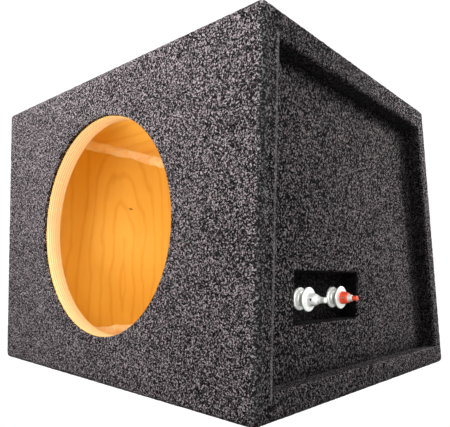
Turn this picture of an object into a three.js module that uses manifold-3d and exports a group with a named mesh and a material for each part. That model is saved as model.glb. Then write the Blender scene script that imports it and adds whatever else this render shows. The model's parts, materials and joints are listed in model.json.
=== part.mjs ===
// Carpeted single-driver wedge subwoofer enclosure with a pair of spring-loaded terminal posts.
//
// Millimetres, +Z up. The origin is the middle of the footprint on the ground: the baffle with the
// driver cut-out faces -Y, the leaning back faces +Y and the terminal pocket is in the +X side.

import * as THREE from 'three';
import { ConvexGeometry } from 'three/addons/geometries/ConvexGeometry.js';
import { mergeVertices } from 'three/addons/utils/BufferGeometryUtils.js';
import Module from 'manifold-3d';

const wasm = await Module();
wasm.setup();

// ---------------------------------------------------------------- driving dimensions

const WIDTH = 435; // outside, carpet included
const HEIGHT = 330;
const BASE_DEPTH = 430;
const TOP_DEPTH = 332;
const PLY = 18; // plywood sheet
const CARPET = 3; // carpet with its glue line
const GAP = 0.3; // glue line or running room between two pieces
const SIDE_RECESS = 15.5; // how far the carpeted side panels lie below the frame's edge

const CUTOUT_RADIUS = 116.5; // standard 10 inch driver
const CUTOUT_HEIGHT = 166;

const POCKET = { y: -81, z: 98.1, width: 122, height: 50.2, depth: 18 };
const BOARD = { width: 175, height: 100, thickness: 12 };
const SCREW = { spreadY: 76, spreadZ: 39, radius: 1.75, length: 24, pointLength: 4, headRadius: 3.6, headHeight: 2.2 };

const BEAD_TOP = 10; // legs of the sealant beads
const BEAD_BOTTOM = 14;

const POSTS = [
  { name: 'negative', y: -108.2, z: 95.8 },
  { name: 'positive', y: -45.2, z: 96.1 },
];
const SHAFT_RADIUS = 2.4;
const THREAD_RADIUS = 2.9;
const BASE_COLLAR_RADIUS = 11.3;
const PUSH_COLLAR_RADIUS = 11.8;
const COLLAR_TRAVEL = 4.5; // how far a push collar goes in

// ---------------------------------------------------------------- derived dimensions

const HALF_WIDTH = WIDTH / 2;
const FRONT = -BASE_DEPTH / 2;
const BACK_SLOPE = (BASE_DEPTH - TOP_DEPTH) / HEIGHT;
const BACK_STRETCH = Math.hypot(1, BACK_SLOPE); // horizontal over square thickness of the back
const WALL = CARPET + PLY; // from the outer surface to the inside of a panel
const SIDE_SURFACE = HALF_WIDTH - SIDE_RECESS; // carpet face of a side panel
const SIDE_OUTER = SIDE_SURFACE - CARPET;
const SIDE_INNER = SIDE_OUTER - PLY;
const POCKET_FLOOR = SIDE_SURFACE - POCKET.depth;
const BORE_RADIUS = SHAFT_RADIUS + GAP;

// ---------------------------------------------------------------- materials

function finish(color, roughness, metalness = 0) {
  return new THREE.MeshStandardMaterial({ color, roughness, metalness });
}

const BIRCH = finish('#f0c27c', 0.6);
const CARPET_PILE = finish('#2b2b2e', 1);
const SEALANT = finish('#f7dcb4', 0.35);
const NICKEL = finish('#dcddd6', 0.25, 1);
const STEEL = finish('#a8abad', 0.35, 1);
const SPRING_STEEL = finish('#8f9294', 0.3, 1);
const RED_PLASTIC = finish('#f2502a', 0.3);
const BLACK_PLASTIC = finish('#111112', 0.35);

// ---------------------------------------------------------------- solids

function toManifold(geometry) {
  const bare = geometry.clone();
  bare.deleteAttribute('normal');
  bare.deleteAttribute('uv');
  const merged = mergeVertices(bare);
  const corners = merged.index.array;
  const triangles = [];
  for (let i = 0; i < corners.length; i += 3) {
    const [a, b, c] = corners.slice(i, i + 3);
    if (a !== b && b !== c && c !== a) triangles.push(a, b, c);
  }
  return new wasm.Manifold(new wasm.Mesh({
    numProp: 3,
    vertProperties: new Float32Array(merged.attributes.position.array),
    triVerts: new Uint32Array(triangles),
  }));
}

function toGeometry(manifold) {
  const mesh = manifold.getMesh();
  const geometry = new THREE.BufferGeometry();
  geometry.setAttribute('position', new THREE.BufferAttribute(mesh.vertProperties, 3));
  geometry.setIndex(new THREE.BufferAttribute(mesh.triVerts, 1));
  geometry.computeVertexNormals();
  return geometry;
}

// Box between two corners.
function block([x0, y0, z0], [x1, y1, z1]) {
  const geometry = new THREE.BoxGeometry(x1 - x0, y1 - y0, z1 - z0);
  geometry.translate((x0 + x1) / 2, (y0 + y1) / 2, (z0 + z1) / 2);
  return toManifold(geometry);
}

// Prism of an outline in the Y-Z plane, between two X positions.
function sidePrism(outline, x0, x1) {
  const geometry = new THREE.ExtrudeGeometry(new THREE.Shape(outline), { depth: x1 - x0, bevelEnabled: false });
  geometry.translate(0, 0, x0);
  geometry.applyMatrix4(new THREE.Matrix4().makeBasis(
    new THREE.Vector3(0, 1, 0),
    new THREE.Vector3(0, 0, 1),
    new THREE.Vector3(1, 0, 0),
  ));
  return toManifold(geometry);
}

// Round bar along X, Y or Z through a point.
function bar(axis, center, radius, length, segments = 24) {
  const geometry = new THREE.CylinderGeometry(radius, radius, length, segments);
  if (axis === 'x') geometry.rotateZ(-Math.PI / 2);
  if (axis === 'z') geometry.rotateX(Math.PI / 2);
  geometry.translate(...center);
  return toManifold(geometry);
}

// Solid of revolution about the local Y axis from [radius, height] points that close on themselves.
function turned(profile, segments = 36) {
  const points = profile.map(([radius, height]) => new THREE.Vector2(radius, height));
  return new THREE.LatheGeometry([...points, points[0].clone()], segments);
}

const group = new THREE.Group();

function add(parent, name, shape, material) {
  const geometry = shape.isBufferGeometry ? shape : toGeometry(shape);
  const mesh = new THREE.Mesh(geometry, material);
  mesh.name = name;
  parent.add(mesh);
  return mesh;
}

// ---------------------------------------------------------------- the wedge's outline

function backAt(height, inset = 0) {
  return BASE_DEPTH / 2 - height * BACK_SLOPE - inset * BACK_STRETCH;
}

// The four corners of the wedge seen from +X, all sides moved in by the inset, from front bottom round.
function wedge(inset) {
  const low = inset;
  const high = HEIGHT - inset;
  return [
    new THREE.Vector2(FRONT + inset, low),
    new THREE.Vector2(backAt(low, inset), low),
    new THREE.Vector2(backAt(high, inset), high),
    new THREE.Vector2(FRONT + inset, high),
  ];
}

// ---------------------------------------------------------------- plywood case

function driverHole(radius) {
  return bar('y', [0, FRONT, CUTOUT_HEIGHT], radius, 4 * WALL, 96);
}

function addFrontBaffle() {
  const edge = HALF_WIDTH - CARPET;
  const sheet = block([-edge, FRONT + CARPET, CARPET], [edge, FRONT + WALL, HEIGHT - CARPET]);
  add(group, 'front_baffle', sheet.subtract(driverHole(CUTOUT_RADIUS)), BIRCH);
}

// Top and bottom sheets run from the baffle to the leaning back and end in a bevel there.
function addLevelPanel(name, low, high) {
  const edge = HALF_WIDTH - CARPET;
  const start = FRONT + WALL + GAP;
  const outline = [
    new THREE.Vector2(start, low),
    new THREE.Vector2(backAt(low, WALL + GAP), low),
    new THREE.Vector2(backAt(high, WALL + GAP), high),
    new THREE.Vector2(start, high),
  ];
  add(group, name, sidePrism(outline, -edge, edge), BIRCH);
}

function addBackPanel() {
  const edge = HALF_WIDTH - CARPET;
  const low = CARPET;
  const high = HEIGHT - CARPET;
  const outline = [
    new THREE.Vector2(backAt(low, WALL), low),
    new THREE.Vector2(backAt(low, CARPET), low),
    new THREE.Vector2(backAt(high, CARPET), high),
    new THREE.Vector2(backAt(high, WALL), high),
  ];
  add(group, 'back_panel', sidePrism(outline, -edge, edge), BIRCH);
}

// A block that spans the terminal pocket, wider than its opening by the margin, between two X positions.
function pocketBlock(margin, x0, x1) {
  const reachY = POCKET.width / 2 + margin;
  const reachZ = POCKET.height / 2 + margin;
  return block(
    [x0, POCKET.y - reachY, POCKET.z - reachZ],
    [x1, POCKET.y + reachY, POCKET.z + reachZ],
  );
}

function screwPlaces() {
  const places = [];
  for (const up of [-1, 1]) {
    for (const along of [-1, 1]) {
      places.push([POCKET.y + along * SCREW.spreadY, POCKET.z + up * SCREW.spreadZ]);
    }
  }
  return places;
}

function addSidePanels() {
  const outline = wedge(WALL + GAP);
  add(group, 'left_side_panel', sidePrism(outline, -SIDE_OUTER, -SIDE_INNER), BIRCH);

  let right = sidePrism(outline, SIDE_INNER, SIDE_OUTER);
  right = right.subtract(pocketBlock(CARPET, SIDE_INNER - PLY, SIDE_OUTER + PLY));
  for (const [y, z] of screwPlaces()) {
    const pilotDepth = 2 * (SCREW.length - BOARD.thickness + 2);
    right = right.subtract(bar('x', [SIDE_INNER, y, z], SCREW.radius + GAP, pilotDepth, 16));
  }
  add(group, 'right_side_panel', right, BIRCH);
}

// ---------------------------------------------------------------- carpet

// The wrap covers the four outer faces, turns over the frame's edges and goes down the recess walls.
function carpetWrap() {
  const ply = CARPET - GAP;
  const outer = sidePrism(wedge(0), -HALF_WIDTH, HALF_WIDTH);
  const core = sidePrism(wedge(ply), -HALF_WIDTH + ply, HALF_WIDTH - ply);
  const opening = sidePrism(wedge(WALL + CARPET), -WIDTH, WIDTH);
  let wrap = outer.subtract(core).subtract(opening);
  for (const side of [-1, 1]) {
    const ends = [side * (SIDE_SURFACE + GAP), side * (HALF_WIDTH - ply / 2)].sort((a, b) => a - b);
    const lining = sidePrism(wedge(WALL + GAP), ...ends).subtract(opening);
    wrap = wrap.add(lining);
  }
  return wrap;
}

// The part of the wrap on one face, mitred at both ends. Corners are numbered as in wedge().
function wrapFace(wrap, first) {
  const last = (first + 1) % 4;
  const outside = wedge(-CARPET);
  const inside = wedge(2 * WALL);
  const along = outside[last].clone().sub(outside[first]).setLength(GAP / 2);
  const outline = [
    outside[first].clone().add(along),
    outside[last].clone().sub(along),
    inside[last].clone().sub(along),
    inside[first].clone().add(along),
  ];
  const area = THREE.ShapeUtils.area(outline);
  if (area < 0) outline.reverse();
  return wrap.intersect(sidePrism(outline, -WIDTH, WIDTH));
}

function addCarpets() {
  const wrap = carpetWrap();
  add(group, 'carpet_bottom', wrapFace(wrap, 0), CARPET_PILE);
  add(group, 'carpet_back', wrapFace(wrap, 1), CARPET_PILE);
  add(group, 'carpet_top', wrapFace(wrap, 2), CARPET_PILE);
  add(group, 'carpet_front', wrapFace(wrap, 3).subtract(driverHole(CUTOUT_RADIUS + GAP)), CARPET_PILE);

  const outline = wedge(WALL + GAP);
  add(group, 'carpet_left_side', sidePrism(outline, -SIDE_SURFACE, -SIDE_OUTER - GAP), CARPET_PILE);
  const right = sidePrism(outline, SIDE_OUTER + GAP, SIDE_SURFACE);
  add(group, 'carpet_right_side', right.subtract(pocketBlock(CARPET, SIDE_INNER, WIDTH)), CARPET_PILE);
}

// The pocket's carpet is a tray: four walls and a floor with a hole for each post.
function addPocketLining() {
  let tray = pocketBlock(CARPET - GAP, POCKET_FLOOR - CARPET + GAP, SIDE_SURFACE);
  tray = tray.subtract(pocketBlock(0, POCKET_FLOOR, WIDTH));
  tray = tray.subtract(postHoles());
  add(group, 'carpet_pocket', tray, CARPET_PILE);
}

// ---------------------------------------------------------------- sealant

// A bead round the inside of one side panel, with a leg up the wall that tapers away from the panel.
function sideBead(side) {
  const outline = wedge(WALL + GAP);
  const start = side * (SIDE_INNER - GAP);
  const end = start - side * BEAD_TOP;
  const ring = sidePrism(outline, Math.min(start, end), Math.max(start, end));
  const points = [];
  // the cutter is a frustum that passes both faces of the ring by one leg
  for (const [step, spread] of [[-1, 2], [2, -1]]) {
    const x = start - side * step * BEAD_TOP;
    const high = HEIGHT - WALL - GAP - spread * BEAD_TOP;
    const low = WALL + GAP + spread * BEAD_BOTTOM;
    const inset = WALL + GAP + spread * BEAD_TOP;
    points.push(new THREE.Vector3(x, FRONT + inset, low));
    points.push(new THREE.Vector3(x, backAt(low, inset), low));
    points.push(new THREE.Vector3(x, backAt(high, inset), high));
    points.push(new THREE.Vector3(x, FRONT + inset, high));
  }
  return ring.subtract(toManifold(new ConvexGeometry(points)));
}

// A three-sided bead along X in one corner of the wedge, between the two side beads.
function cornerBead(corner, leg) {
  const outline = wedge(WALL + GAP);
  const reach = SIDE_INNER - GAP - BEAD_TOP - 1;
  const here = outline[corner];
  const toward = [outline[(corner + 1) % 4], outline[(corner + 3) % 4]];
  const tips = toward.map((other) => here.clone().add(other.clone().sub(here).setLength(leg)));
  return sidePrism([here, ...tips], -reach, reach);
}

function addSealant() {
  add(group, 'left_seam_bead', sideBead(-1), SEALANT);
  add(group, 'right_seam_bead', sideBead(1), SEALANT);
  add(group, 'front_bottom_bead', cornerBead(0, BEAD_BOTTOM), SEALANT);
  add(group, 'back_bottom_bead', cornerBead(1, BEAD_BOTTOM), SEALANT);
  add(group, 'back_top_bead', cornerBead(2, BEAD_TOP), SEALANT);
  add(group, 'front_top_bead', cornerBead(3, BEAD_TOP), SEALANT);
}

// ---------------------------------------------------------------- terminal board

function postHoles() {
  const holes = POSTS.map(({ y, z }) => bar('x', [POCKET_FLOOR, y, z], THREAD_RADIUS + GAP, 4 * PLY));
  return holes[0].add(holes[1]);
}

function addTerminalBoard() {
  const outer = SIDE_INNER - GAP;
  const inner = SIDE_INNER - BOARD.thickness;
  let board = block(
    [inner, POCKET.y - BOARD.width / 2, POCKET.z - BOARD.height / 2],
    [outer, POCKET.y + BOARD.width / 2, POCKET.z + BOARD.height / 2],
  );
  board = board.subtract(postHoles());
  for (const [y, z] of screwPlaces()) {
    board = board.subtract(bar('x', [inner, y, z], SCREW.radius + GAP, 4 * BOARD.thickness, 16));
  }
  add(group, 'terminal_board', board, BIRCH);
}

// Pan-head wood screw along local +Y with the underside of its head at the origin.
function screwShape() {
  const body = toManifold(turned([
    [0, -SCREW.headHeight],
    [SCREW.headRadius * 0.7, -SCREW.headHeight],
    [SCREW.headRadius, -SCREW.headHeight * 0.45],
    [SCREW.headRadius, 0],
    [SCREW.radius, 0],
    [SCREW.radius, SCREW.length - SCREW.pointLength],
    [0, SCREW.length],
  ], 16));
  const slot = { long: SCREW.headRadius * 0.6, wide: 0.45, deep: SCREW.headHeight * 0.6 };
  const low = -SCREW.headHeight - 1;
  const high = -SCREW.headHeight + slot.deep;
  const cross = block([-slot.long, low, -slot.wide], [slot.long, high, slot.wide])
    .add(block([-slot.wide, low, -slot.long], [slot.wide, high, slot.long]));
  return body.subtract(cross);
}

function addBoardScrews() {
  screwPlaces().forEach(([y, z], index) => {
    const screw = add(group, `board_screw_${index + 1}`, screwShape(), STEEL);
    screw.position.set(SIDE_INNER - BOARD.thickness - GAP, y, z);
    screw.rotation.z = -Math.PI / 2;
  });
}

// ---------------------------------------------------------------- terminal posts

// A post is turned about its local Y axis, which points out of the box, from the pocket's floor.
const COLLAR = {
  back: 10.8, // back of the flange
  face: 13.2, // front of the flange
  root: 13.9, // foot of the horn, level with the spring's seat
  hole: 17.3, // wire hole
  linerEnd: 20.2,
  end: 25.5,
};
const COUNTERBORE_RADIUS = 3.7;
const WIRE_HOLE_RADIUS = 1.5;
const LINER_RADIUS = 3.4;
const TIP = { start: 25.8, end: 31.2, radius: 2.8, boreRadius: 1.9, wall: 1.4 };
const BASE_COLLAR_TOP = 5;
const INNER_FACE = SIDE_INNER - BOARD.thickness - POCKET_FLOOR; // inside of the board

const INNER_END = -30; // of the shaft, inside the box

// Radius of the positive collar's horn at a height above the floor.
const HORN = [
  [5.6, COLLAR.root],
  [5, 15.5],
  [4.6, COLLAR.hole],
  [4.2, 19.5],
  [3.9, 21.5],
  [3.5, 23.5],
  [3.2, COLLAR.end],
];
// The flare that the positive's sleeve adds round its horn, and that the negative's own metal has.
const FLARE = [
  [6.9, COLLAR.root],
  [6.6, 15.5],
  [6.2, COLLAR.hole],
  [5.7, 19.5],
  [4.9, 21.5],
];

function shaftShape() {
  const stub = TIP.boreRadius - GAP;
  const body = toManifold(turned([
    [0, INNER_END],
    [THREAD_RADIUS - 0.6, INNER_END],
    [THREAD_RADIUS, INNER_END + 0.6],
    [THREAD_RADIUS, 0],
    [SHAFT_RADIUS, 0],
    [SHAFT_RADIUS, TIP.start - GAP],
    [stub, TIP.start - GAP],
    [stub, TIP.end - TIP.wall - GAP],
    [0, TIP.end - TIP.wall - GAP],
  ], 32));
  const holeHeight = COLLAR.hole - COLLAR_TRAVEL;
  return body.subtract(bar('x', [0, holeHeight, 0], WIRE_HOLE_RADIUS - GAP, 4 * SHAFT_RADIUS, 16));
}

function baseCollarShape() {
  const rim = BASE_COLLAR_RADIUS;
  return turned([
    [BORE_RADIUS, GAP],
    [rim - 1.1, GAP],
    [rim - 0.3, 0.9],
    [rim, 2],
    [rim - 0.3, 3],
    [rim - 1.1, 3.7],
    [7.4, 3.9],
    [6.6, 4.3],
    [6.3, BASE_COLLAR_TOP],
    [BORE_RADIUS, BASE_COLLAR_TOP],
  ]);
}

function pushCollarShape(flared) {
  const rim = PUSH_COLLAR_RADIUS;
  const horn = flared ? [...FLARE, ...HORN.slice(FLARE.length)] : HORN;
  const body = toManifold(turned([
    [COUNTERBORE_RADIUS, COLLAR.back],
    [rim - 0.6, COLLAR.back],
    [rim, COLLAR.back + 0.6],
    [rim, COLLAR.face - 0.7],
    [rim - 0.8, COLLAR.face],
    [horn[0][0] + 0.8, COLLAR.face + 0.2],
    ...horn,
    [BORE_RADIUS, COLLAR.end],
    [BORE_RADIUS, COLLAR.linerEnd + GAP],
    [COUNTERBORE_RADIUS, COLLAR.linerEnd + GAP],
  ]));
  return body.subtract(bar('x', [0, COLLAR.hole, 0], WIRE_HOLE_RADIUS, 4 * PUSH_COLLAR_RADIUS, 20));
}

// Plastic bush inside the push collar, with its own smaller wire hole.
function linerShape() {
  const body = toManifold(turned([
    [BORE_RADIUS, COLLAR.root + GAP],
    [LINER_RADIUS, COLLAR.root + GAP],
    [LINER_RADIUS, COLLAR.linerEnd],
    [BORE_RADIUS, COLLAR.linerEnd],
  ], 32));
  return body.subtract(bar('x', [0, COLLAR.hole, 0], WIRE_HOLE_RADIUS - GAP, 4 * LINER_RADIUS, 16));
}

// Coloured sleeve over the horn's root. The wire hole goes through it too.
function sleeveShape() {
  const inside = HORN.slice(0, FLARE.length).map(([radius, height]) => [radius + GAP, height]);
  const body = toManifold(turned([...inside.reverse(), ...FLARE]));
  return body.subtract(bar('x', [0, COLLAR.hole, 0], WIRE_HOLE_RADIUS, 4 * PUSH_COLLAR_RADIUS, 20));
}

function tipShape() {
  const { start, end, radius, boreRadius } = TIP;
  return turned([
    [boreRadius, start],
    [radius, start],
    [radius, end - 0.7],
    [radius - 0.7, end],
    [0, end],
    [0, end - TIP.wall],
    [boreRadius, end - TIP.wall],
  ], 32);
}

class Helix extends THREE.Curve {
  constructor(radius, low, high, turns) {
    super();
    Object.assign(this, { radius, low, high, turns });
  }

  getPoint(t, target = new THREE.Vector3()) {
    const angle = 2 * Math.PI * this.turns * t;
    const height = THREE.MathUtils.lerp(this.low, this.high, t);
    return target.set(this.radius * Math.cos(angle), height, this.radius * Math.sin(angle));
  }
}

function springShape() {
  const wire = 0.3;
  const low = BASE_COLLAR_TOP + GAP + wire;
  const high = COLLAR.root - GAP - wire;
  const turns = 5;
  const section = new THREE.Shape().absarc(0, 0, wire, 0, 2 * Math.PI);
  const path = new Helix(SHAFT_RADIUS + 0.3 + wire, low, high, turns);
  return new THREE.ExtrudeGeometry(section, { steps: 14 * turns, curveSegments: 3, extrudePath: path });
}

function ringShape(innerRadius, outerRadius, low, high) {
  return turned([[innerRadius, low], [outerRadius, low], [outerRadius, high], [innerRadius, high]], 32);
}

// Ring tag with a tongue that a lead is soldered to.
function lugShape(low, high) {
  const tag = { radius: 5.6, halfWidth: 2, start: 4.5, end: 15, eye: 12.5, eyeRadius: 0.9 };
  const tongue = block([-tag.halfWidth, low, tag.start], [tag.halfWidth, high, tag.end]);
  const eye = bar('y', [0, 0, tag.eye], tag.eyeRadius, 4 * PLY, 12);
  const ring = ringShape(THREAD_RADIUS + GAP, tag.radius, low, high);
  return toManifold(ring).add(tongue).subtract(eye);
}

// Spring washer: a ring with a slanted cut.
function lockWasherShape(low, high) {
  const radius = 5.2;
  const slit = 0.8;
  const slant = Math.PI / 5;
  const cut = new THREE.BoxGeometry(2 * radius, 4 * (high - low), slit);
  cut.rotateX(slant);
  cut.translate(radius + 0.5, (low + high) / 2, 0);
  return toManifold(ringShape(THREAD_RADIUS + GAP, radius, low, high)).subtract(toManifold(cut));
}

function nutShape(low, high) {
  const corner = 10 / Math.sqrt(3); // 10 mm across the flats
  const broken = 0.6;
  const hexagon = new THREE.CylinderGeometry(corner, corner, high - low, 6);
  hexagon.translate(0, (low + high) / 2, 0);
  const chamfer = toManifold(turned([
    [0, low],
    [corner - broken, low],
    [corner, low + broken],
    [corner, high - broken],
    [corner - broken, high],
    [0, high],
  ], 36));
  const bore = bar('y', [0, (low + high) / 2, 0], THREAD_RADIUS + GAP, 2 * (high - low));
  return toManifold(hexagon).intersect(chamfer).subtract(bore);
}

// Washer, lug, spring washer and nut hold the post from inside the box, in that order.
function addPostHardware(post, name) {
  const stack = [
    ['flat_washer', 1.2, STEEL, (low, high) => ringShape(THREAD_RADIUS + GAP, 7, low, high)],
    ['solder_lug', 0.8, NICKEL, lugShape],
    ['lock_washer', 1.2, STEEL, lockWasherShape],
    ['nut', 4.6, STEEL, nutShape],
  ];
  let top = INNER_FACE - GAP;
  for (const [piece, thickness, material, shape] of stack) {
    add(post, `${name}_${piece}`, shape(top - thickness, top), material);
    top -= thickness + GAP;
  }
}

function addPost({ name, y, z }) {
  const post = new THREE.Group();
  post.position.set(POCKET_FLOOR, y, z);
  post.rotation.z = -Math.PI / 2;
  group.add(post);

  const positive = name === 'positive';
  add(post, `${name}_post_shaft`, shaftShape(), NICKEL);
  add(post, `${name}_base_collar`, baseCollarShape(), NICKEL);
  add(post, `${name}_push_collar`, pushCollarShape(!positive), NICKEL);
  add(post, `${name}_collar_liner`, linerShape(), BLACK_PLASTIC);
  if (positive) add(post, `${name}_collar_sleeve`, sleeveShape(), RED_PLASTIC);
  add(post, `${name}_collar_spring`, springShape(), SPRING_STEEL);
  add(post, `${name}_post_tip`, tipShape(), positive ? RED_PLASTIC : NICKEL);
  addPostHardware(post, name);
}

// ---------------------------------------------------------------- the whole enclosure

addFrontBaffle();
addLevelPanel('top_panel', HEIGHT - WALL, HEIGHT - CARPET);
addLevelPanel('bottom_panel', CARPET, WALL);
addBackPanel();
addSidePanels();
addCarpets();
addPocketLining();
addSealant();
addTerminalBoard();
addBoardScrews();
POSTS.forEach(addPost);

export default group;
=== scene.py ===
import json
import math

import bmesh
import bpy
from mathutils import Matrix, Vector, noise

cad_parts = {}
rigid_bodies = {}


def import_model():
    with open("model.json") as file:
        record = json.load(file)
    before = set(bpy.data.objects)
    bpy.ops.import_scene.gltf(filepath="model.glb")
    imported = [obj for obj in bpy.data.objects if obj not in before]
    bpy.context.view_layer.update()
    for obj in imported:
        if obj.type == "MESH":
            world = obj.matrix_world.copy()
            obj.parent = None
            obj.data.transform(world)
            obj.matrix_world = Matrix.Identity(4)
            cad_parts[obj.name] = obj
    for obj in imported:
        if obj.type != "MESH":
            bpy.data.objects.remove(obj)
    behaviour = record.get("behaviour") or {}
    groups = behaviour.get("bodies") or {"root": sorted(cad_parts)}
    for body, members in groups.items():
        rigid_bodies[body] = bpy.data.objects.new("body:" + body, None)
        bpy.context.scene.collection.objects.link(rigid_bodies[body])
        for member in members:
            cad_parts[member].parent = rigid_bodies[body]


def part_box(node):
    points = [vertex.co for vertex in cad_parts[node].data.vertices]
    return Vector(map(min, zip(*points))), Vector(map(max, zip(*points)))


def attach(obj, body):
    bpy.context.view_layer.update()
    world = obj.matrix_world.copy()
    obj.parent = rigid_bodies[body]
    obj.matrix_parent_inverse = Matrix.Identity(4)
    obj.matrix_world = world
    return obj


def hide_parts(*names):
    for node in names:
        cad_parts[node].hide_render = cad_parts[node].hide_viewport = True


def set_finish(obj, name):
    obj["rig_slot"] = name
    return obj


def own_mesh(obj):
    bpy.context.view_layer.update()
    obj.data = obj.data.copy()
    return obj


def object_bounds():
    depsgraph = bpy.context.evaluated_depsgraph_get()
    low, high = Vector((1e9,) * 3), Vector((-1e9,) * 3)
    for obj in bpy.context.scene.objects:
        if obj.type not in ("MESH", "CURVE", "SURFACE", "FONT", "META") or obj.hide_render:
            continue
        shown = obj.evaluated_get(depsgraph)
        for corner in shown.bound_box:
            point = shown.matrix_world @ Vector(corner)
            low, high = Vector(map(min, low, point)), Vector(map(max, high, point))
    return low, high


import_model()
cad_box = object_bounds()

# ------------------------------------------------------------------ sizes, in metres

MM = 0.001
LOW, HIGH = cad_box
HALF_WIDTH = HIGH.x
FRONT = LOW.y
BACK = HIGH.y
TOP = HIGH.z
TOP_DEPTH = 332 * MM
BACK_SLOPE = (BACK - FRONT - TOP_DEPTH) / TOP
BACK_STRETCH = math.hypot(1, BACK_SLOPE)
CARPET = 3 * MM
PLY = 18 * MM
WALL = CARPET + PLY
FRAME = WALL + CARPET  # from the outside to the inner face of the frame round a recess
PLIES = 13
GAP = 0.3 * MM  # clearance between two sheets
SIDE_SURFACE = -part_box("carpet_left_side")[0].x
SIDE_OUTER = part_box("right_side_panel")[1].x
SIDE_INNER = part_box("right_side_panel")[0].x
HOLE_RADIUS = 116.5 * MM
HOLE_CENTRE = Vector((0, FRONT, 166 * MM))
TRAY_LOW, TRAY_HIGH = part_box("carpet_pocket")
LINING = 2.7 * MM  # the pocket's carpet
POCKET_CENTRE = (TRAY_LOW + TRAY_HIGH) / 2
POCKET_HALF_Y = (TRAY_HIGH.y - TRAY_LOW.y) / 2 - LINING
POCKET_HALF_Z = (TRAY_HIGH.z - TRAY_LOW.z) / 2 - LINING
POCKET_FLOOR = TRAY_LOW.x + LINING
BASE_BODY = "enclosure"
GRID = 3.6 * MM  # spacing of the carpets' meshes
PILE = 0.7 * MM  # how far the wrap's pile stands proud of its nominal face
PILE_SWELL = 0.34 * MM  # height and spacing of the pile's unevenness
SWELL_SIZE = 2.6 * MM
CARPET_MIDDLE = 0.99  # the fibre pattern's value that the painted side shading leaves alone
# how far the painted shade and highlight of grazing light spread the fibres' values on faces turned along
# X
SIDE_SHADE_CONTRAST = 2.2
LIP_HIGHLIGHT_GAIN = 7.0  # how many times paler the painted highlight makes the wrap where it is strongest
LIP_HIGHLIGHT_BAND = (17.9, 21.2)  # where that is, in millimetres behind the front
ARCH_TURNS = 2 * math.pi / (19 * MM)  # growth-ring lines round the arches, by distance
KNOT = (-0.0384, 0.2191)  # on the left sheet, in Y and Z

FIBRE_COLORS = [
    (0.50, (0.0006, 0.0006, 0.0007)),
    (0.635, (0.0072, 0.0061, 0.0066)),
    (0.70, (0.042, 0.0345, 0.0380)),
    (0.765, (0.190, 0.160, 0.173)),
    (0.85, (0.86, 0.75, 0.79)),
]
VENEER_COLORS = [
    (0.30, (0.95, 0.70, 0.185)),
    (0.55, (0.91, 0.63, 0.135)),
    (0.80, (0.85, 0.53, 0.090)),
    (1.0, (0.72, 0.38, 0.055)),
]

# ------------------------------------------------------------------ shader helpers


def new_material(name):
    material = bpy.data.materials.new(name)
    material.use_nodes = True
    return material, material.node_tree, material.node_tree.nodes["Principled BSDF"]


def feed(tree, target, inputs):
    """Links sockets to a node's inputs, and sets plain values on them."""
    for key, value in inputs.items():
        if isinstance(value, bpy.types.NodeSocket):
            tree.links.new(value, target.inputs[key])
        else:
            target.inputs[key].default_value = value


def node(tree, kind, inputs=None, **settings):
    made = tree.nodes.new(kind)
    for key, value in settings.items():
        setattr(made, key, value)
    feed(tree, made, inputs or {})
    return made


def place(tree):
    """The point in the object's own space, in metres."""
    return node(tree, "ShaderNodeTexCoord").outputs["Object"]


def facing(tree, axis):
    """How squarely the surface faces along an axis of its object, from 0 to 1."""
    direction = node(tree, "ShaderNodeTexCoord").outputs["Normal"]
    part = node(tree, "ShaderNodeSeparateXYZ", {"Vector": direction}).outputs[axis]
    return math_node(tree, "ABSOLUTE", part)


def math_node(tree, operation, first, second=0.0, third=0.0):
    inputs = {0: first, 1: second, 2: third}
    return node(tree, "ShaderNodeMath", inputs, operation=operation).outputs[0]


def times(tree, first, second):
    return math_node(tree, "MULTIPLY", first, second)


def weighted(tree, *parts):
    """The sum of some values, each times its weight."""
    total = 0.0
    for value, weight in parts:
        total = math_node(tree, "MULTIPLY_ADD", value, weight, total)
    return total


def vector_math(tree, operation, first, second, third=(0.0, 0.0, 0.0)):
    inputs = {0: first, 1: second, 2: third}
    return node(tree, "ShaderNodeVectorMath", inputs, operation=operation).outputs[0]


def length_of(tree, vector):
    return node(tree, "ShaderNodeVectorMath", {0: vector}, operation="LENGTH").outputs["Value"]


def combined(tree, x, y, z=0.0):
    return node(tree, "ShaderNodeCombineXYZ", {0: x, 1: y, 2: z}).outputs[0]


def map_range(tree, value, low, high, to_low, to_high, smoothly=False):
    inputs = {"Value": value, "From Min": low, "From Max": high}
    inputs.update({"To Min": to_low, "To Max": to_high})
    kind = "SMOOTHSTEP" if smoothly else "LINEAR"
    return node(tree, "ShaderNodeMapRange", inputs, interpolation_type=kind).outputs[0]


def noise_at(tree, vector, scale, detail=2.0, roughness=0.5, distortion=0.0, output="Fac"):
    inputs = {"Vector": vector, "Scale": scale, "Detail": detail, "Roughness": roughness}
    inputs["Distortion"] = distortion
    return node(tree, "ShaderNodeTexNoise", inputs).outputs[output]


def ramp(tree, value, stops):
    made = node(tree, "ShaderNodeValToRGB", {"Fac": value})
    elements = made.color_ramp.elements
    while len(elements) < len(stops):
        elements.new(0.5)
    for element, (position, color) in zip(elements, stops):
        element.position = position
        element.color = (*color, 1)
    return made.outputs["Color"]


def mix(tree, factor, first, second, blend="MIX"):
    made = node(tree, "ShaderNodeMix", {"Factor": factor}, data_type="RGBA", blend_type=blend)
    colors = [socket for socket in made.inputs if socket.type == "RGBA"]
    for socket, value in zip(colors, (first, second)):
        if isinstance(value, bpy.types.NodeSocket):
            tree.links.new(value, socket)
        else:
            socket.default_value = (*value, 1)
    return [socket for socket in made.outputs if socket.type == "RGBA"][0]


def stretched(tree, vector, scale):
    return node(tree, "ShaderNodeMapping", {"Vector": vector, "Scale": scale}).outputs[0]


def bump(tree, shader, height, distance, strength=1.0):
    made = node(tree, "ShaderNodeBump", {"Height": height, "Distance": distance, "Strength": strength})
    feed(tree, shader, {"Normal": made.outputs[0]})


# ------------------------------------------------------------------ materials


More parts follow.
